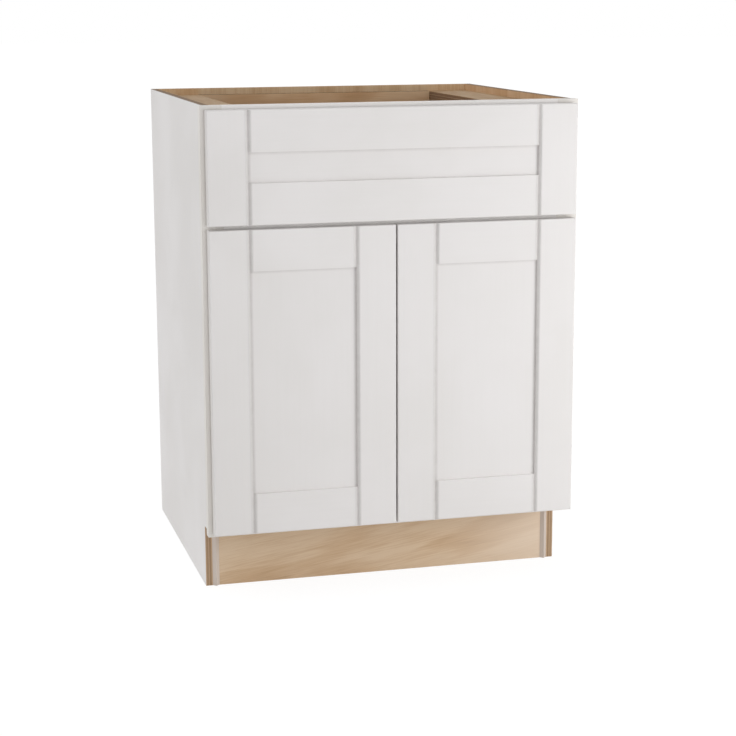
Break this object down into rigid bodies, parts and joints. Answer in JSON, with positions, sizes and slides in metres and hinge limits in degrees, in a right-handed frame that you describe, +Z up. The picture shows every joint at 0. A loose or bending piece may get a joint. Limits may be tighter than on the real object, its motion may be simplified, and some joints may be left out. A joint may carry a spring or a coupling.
{
  "type": "kitchen base cabinet",
  "caption": "White face-frame kitchen base cabinet with a drawer over paired panel doors, an adjustable shelf, a recessed toe board and an open top for a worktop.",
  "frame": {"origin": "middle of the footprint, on the floor", "axes": "+Z up, the fronts face -Y, +X to the right seen from the front"},
  "size_m": [0.6858, 0.6306, 0.8763],
  "materials": {
    "white_paint": "satin white paint on hardwood",
    "side_ply": "white outer skin, bare ply edges, clear coated birch inside",
    "birch_ply": "clear coated birch plywood",
    "solid_birch": "clear coated solid birch",
    "steel": "zinc and nickel plated",
    "grey_plastic": "moulded nylon",
    "clear_bumper": "soft clear polyurethane"
  },
  "bodies": {
    "carcass": {"side_panel_left": "side_ply", "side_panel_right": "side_ply", "bottom_panel": "birch_ply", "back_panel": "birch_ply", "hanging_rail": "birch_ply", "top_plank_left": "birch_ply", "top_plank_right": "birch_ply", "toe_board": "birch_ply", "toe_strip_left": "white_paint", "toe_strip_right": "white_paint", "frame_stile_left": "white_paint", "frame_stile_right": "white_paint", "frame_top_rail": "white_paint", "frame_middle_rail": "white_paint", "frame_bottom_rail": "white_paint", "shelf": "birch_ply", "shelf_pins": "steel", "slide_cabinet_rail_left": "steel", "slide_cabinet_rail_right": "steel", "slide_bracket_left": "grey_plastic", "slide_bracket_right": "grey_plastic", "hinge_arms_left": "steel", "hinge_arms_right": "steel", "carcass_screws": "steel"},
    "drawer": {"drawer_side_left": "solid_birch", "drawer_side_right": "solid_birch", "drawer_box_front": "solid_birch", "drawer_box_back": "solid_birch", "drawer_bottom": "birch_ply", "drawer_front_stile_left": "white_paint", "drawer_front_stile_right": "white_paint", "drawer_front_top_rail": "white_paint", "drawer_front_bottom_rail": "white_paint", "drawer_front_panel": "white_paint", "drawer_screws": "steel", "drawer_bumpers": "clear_bumper", "slide_drawer_rail_left": "steel", "slide_drawer_rail_right": "steel", "drawer_clip_left": "grey_plastic", "drawer_clip_right": "grey_plastic"},
    "slide_middle": {"slide_middle_rail_left": "steel", "slide_middle_rail_right": "steel"},
    "left_door": {"left_door_hinge_stile": "white_paint", "left_door_latch_stile": "white_paint", "left_door_top_rail": "white_paint", "left_door_bottom_rail": "white_paint", "left_door_panel": "white_paint", "left_door_bumpers": "clear_bumper", "hinge_cups_left": "steel"},
    "left_outer_links": {"hinge_outer_links_left": "steel"},
    "left_inner_links": {"hinge_inner_links_left": "steel"},
    "right_door": {"right_door_hinge_stile": "white_paint", "right_door_latch_stile": "white_paint", "right_door_top_rail": "white_paint", "right_door_bottom_rail": "white_paint", "right_door_panel": "white_paint", "right_door_bumpers": "clear_bumper", "hinge_cups_right": "steel"},
    "right_outer_links": {"hinge_outer_links_right": "steel"},
    "right_inner_links": {"hinge_inner_links_right": "steel"}
  },
  "joints": [
    {"name": "drawer_slide", "type": "slide", "parent": "carcass", "child": "drawer", "axis": [0, -1, 0], "range_m": [0, 0.5]},
    {"name": "slide_middle_travel", "type": "slide", "parent": "carcass", "child": "slide_middle", "axis": [0, -1, 0], "range_m": [0, 0.25]},
    {"name": "left_outer_link_turn", "type": "hinge", "parent": "carcass", "child": "left_outer_links", "pos_m": [-0.2998, -0.29679, 0.3925], "axis": [0, 0, -1], "range_deg": [-24.57, 0]},
    {"name": "left_door_turn", "type": "hinge", "parent": "left_outer_links", "child": "left_door", "pos_m": [-0.32345, -0.30336, 0.3925], "axis": [0, 0, -1], "range_deg": [0, 116.56]},
    {"name": "left_inner_link_turn", "type": "hinge", "parent": "carcass", "child": "left_inner_links", "pos_m": [-0.29973, -0.30406, 0.3925], "axis": [0, 0, -1], "range_deg": [-63.86, 0]},
    {"name": "right_outer_link_turn", "type": "hinge", "parent": "carcass", "child": "right_outer_links", "pos_m": [0.2998, -0.29679, 0.3925], "axis": [0, 0, 1], "range_deg": [-24.57, 0]},
    {"name": "right_door_turn", "type": "hinge", "parent": "right_outer_links", "child": "right_door", "pos_m": [0.32345, -0.30336, 0.3925], "axis": [0, 0, 1], "range_deg": [0, 116.56]},
    {"name": "right_inner_link_turn", "type": "hinge", "parent": "carcass", "child": "right_inner_links", "pos_m": [0.29973, -0.30406, 0.3925], "axis": [0, 0, 1], "range_deg": [-63.86, 0]}
  ],
  "couplings": [
    {"joint": "slide_middle_travel", "follows": "drawer_slide", "ratio": 0.5},
    {"joint": "left_outer_link_turn", "follows": "left_door_turn", "ratio": -0.21073},
    {"joint": "left_inner_link_turn", "follows": "left_door_turn", "ratio": -0.54775},
    {"joint": "right_outer_link_turn", "follows": "right_door_turn", "ratio": -0.21073},
    {"joint": "right_inner_link_turn", "follows": "right_door_turn", "ratio": -0.54775}
  ]
}
